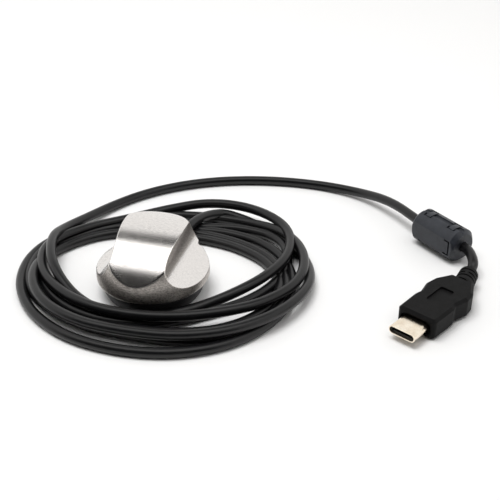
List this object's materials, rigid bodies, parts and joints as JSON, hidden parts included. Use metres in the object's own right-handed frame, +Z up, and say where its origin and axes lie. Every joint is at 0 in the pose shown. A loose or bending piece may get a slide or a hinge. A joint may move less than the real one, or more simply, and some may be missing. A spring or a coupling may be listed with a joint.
{
  "type": "wired camera shutter release",
  "caption": "Desk-standing wired camera release: a brushed metal grip knob presses and turns on a small black base, with a coiled cord, clip-on ferrite and USB-C plug.",
  "frame": {"origin": "centre of the round base, on the surface it stands on", "axes": "+Z up along the knob's axis, +X across the knob's grip bar, +Y towards the side where the cord leaves the base"},
  "size_m": [0.1329, 0.1127, 0.0204],
  "materials": {
    "satin_metal": "satin brushed nickel",
    "steel": "plain steel",
    "spring_steel": "bright spring steel",
    "base_black": "matte black, finely textured",
    "foot_rubber": "soft black rubber",
    "cord_black": "satin black PVC jacket",
    "ferrite_shell": "satin dark grey plastic",
    "ferrite_ceramic": "sintered dark grey ceramic",
    "plug_black": "matte black, finely textured",
    "plug_metal": "pale champagne plated steel",
    "contact_gold": "gold plated",
    "switch_plastic": "moulded nylon",
    "board_green": "solder resist",
    "chip_black": "epoxy",
    "lead_insulation": "thin insulation"
  },
  "bodies": {
    "base": {"base_shell": "base_black", "bottom_cover": "steel", "cover_screws": "steel", "foot_pad": "foot_rubber", "ballast_ring": "steel", "circuit_board": "board_green", "board_chips": "chip_black", "switch_housing": "switch_plastic", "detent_spring": "spring_steel", "click_dome": "spring_steel", "cord_gland": "base_black", "cord_clamp": "switch_plastic", "clamp_screws": "steel", "inner_leads": "lead_insulation", "cord_exit": "cord_black", "cord_coil": "cord_black", "cord_tail": "cord_black", "cord_link": "cord_black", "ferrite_case": "ferrite_shell", "ferrite_core_fixed": "ferrite_ceramic", "plug_overmould": "plug_black", "plug_boot": "plug_black", "plug_shell": "plug_metal", "plug_insulator": "chip_black", "plug_contacts": "contact_gold", "plug_board": "board_green"},
    "carrier": {"push_actuator": "switch_plastic"},
    "knob": {"knob_body": "satin_metal", "set_screw": "steel", "drive_shaft": "steel", "detent_wheel": "switch_plastic"},
    "ferrite_lid": {"ferrite_lid": "ferrite_shell", "ferrite_core_lid": "ferrite_ceramic"}
  },
  "joints": [
    {"name": "knob_press", "type": "slide", "parent": "base", "child": "carrier", "axis": [0, 0, -1], "range_m": [0, 0.0008], "stiffness_N_per_m": 2500, "springref_m": -0.0005, "deforming": ["click_dome"]},
    {"name": "knob_turn", "type": "hinge", "parent": "carrier", "child": "knob", "pos_m": [0, 0, 0.0052], "axis": [0, 0, 1], "continuous": true},
    {"name": "ferrite_open", "type": "hinge", "parent": "base", "child": "ferrite_lid", "pos_m": [0.0776, 0.045, 0.01058], "axis": [0.7793, -0.6266, 0], "range_deg": [0, 100]}
  ]
}
